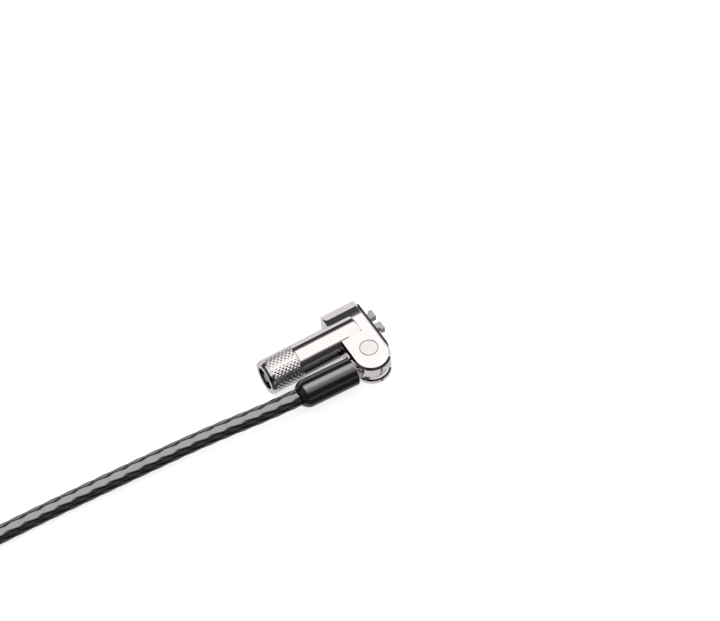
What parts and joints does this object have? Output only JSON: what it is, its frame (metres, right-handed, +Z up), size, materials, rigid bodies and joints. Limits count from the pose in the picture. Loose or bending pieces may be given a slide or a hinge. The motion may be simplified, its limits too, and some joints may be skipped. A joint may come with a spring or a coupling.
{
  "type": "laptop cable lock",
  "caption": "Keyed barrel lock in a cast head with cleats that grip a laptop's security slot, on a swivelling coated steel cable tied in a hank with an anchor eye",
  "frame": {"origin": "the middle of the lock's footprint, on the table, with the free cable left out", "axes": "+X runs along the barrel from the key face to the cleats that enter the laptop, +Y points away from the cable toward the barrel's arm side, +Z is up"},
  "size_m": [0.2394, 0.0563, 0.0302],
  "materials": {
    "chrome": "bright chrome plate on a zinc casting",
    "knurl": "bright chrome plate over a diamond knurl",
    "bezel": "dark polished bevel round the key face",
    "steel": "hardened steel, satin",
    "spring_steel": "drawn spring wire",
    "brass": "turned brass",
    "rubber": "soft black rubber",
    "sleeve": "moulded black, glossy",
    "coat": "clear dark coat over stranded steel rope",
    "strap": "woven hook-and-loop strap",
    "ferrule": "pressed aluminium"
  },
  "bodies": {
    "cable_side": {"swivel_eye": "chrome", "cable_end": "coat", "strain_sleeve": "sleeve", "cable_run": "coat", "cable_hank": "coat", "cable_tie": "strap", "cable_eye": "coat", "loop_ferrule": "ferrule"},
    "lock_body": {"head_casting": "chrome", "bumper_pad": "rubber", "pivot_pin": "steel", "barrel_dowel": "steel", "lock_shell": "chrome", "knurled_grip": "knurl", "face_ring": "bezel", "stator": "brass", "stator_pin": "steel", "driver_pins": "brass", "pin_springs": "spring_steel", "cleat_guide": "steel"},
    "key_plug_group": {"key_plug": "steel", "key_pins": "brass", "spindle": "steel", "spindle_clip": "spring_steel", "scroll": "steel"},
    "back_cleat": {"cleat_back": "steel"},
    "front_cleat": {"cleat_front": "steel"}
  },
  "joints": [
    {"name": "cable_swivel", "type": "hinge", "parent": "cable_side", "child": "lock_body", "pos_m": [0.0095, -0.00683, 0.00505], "axis": [0, 0, -1], "range_deg": [-1.5, 110]},
    {"name": "key_turn", "type": "hinge", "parent": "lock_body", "child": "key_plug_group", "pos_m": [0, 0.00438, 0.00505], "axis": [1, 0, 0], "range_deg": [0, 90]},
    {"name": "back_cleat_slide", "type": "slide", "parent": "lock_body", "child": "back_cleat", "axis": [0, -1, 0], "range_m": [0, 0.0008]},
    {"name": "front_cleat_slide", "type": "slide", "parent": "lock_body", "child": "front_cleat", "axis": [0, 1, 0], "range_m": [0, 0.0008]}
  ],
  "couplings": [
    {"joint": "key_turn", "follows": "back_cleat_slide", "rad_per_m": 1963.5},
    {"joint": "front_cleat_slide", "follows": "back_cleat_slide", "ratio": 1}
  ]
}
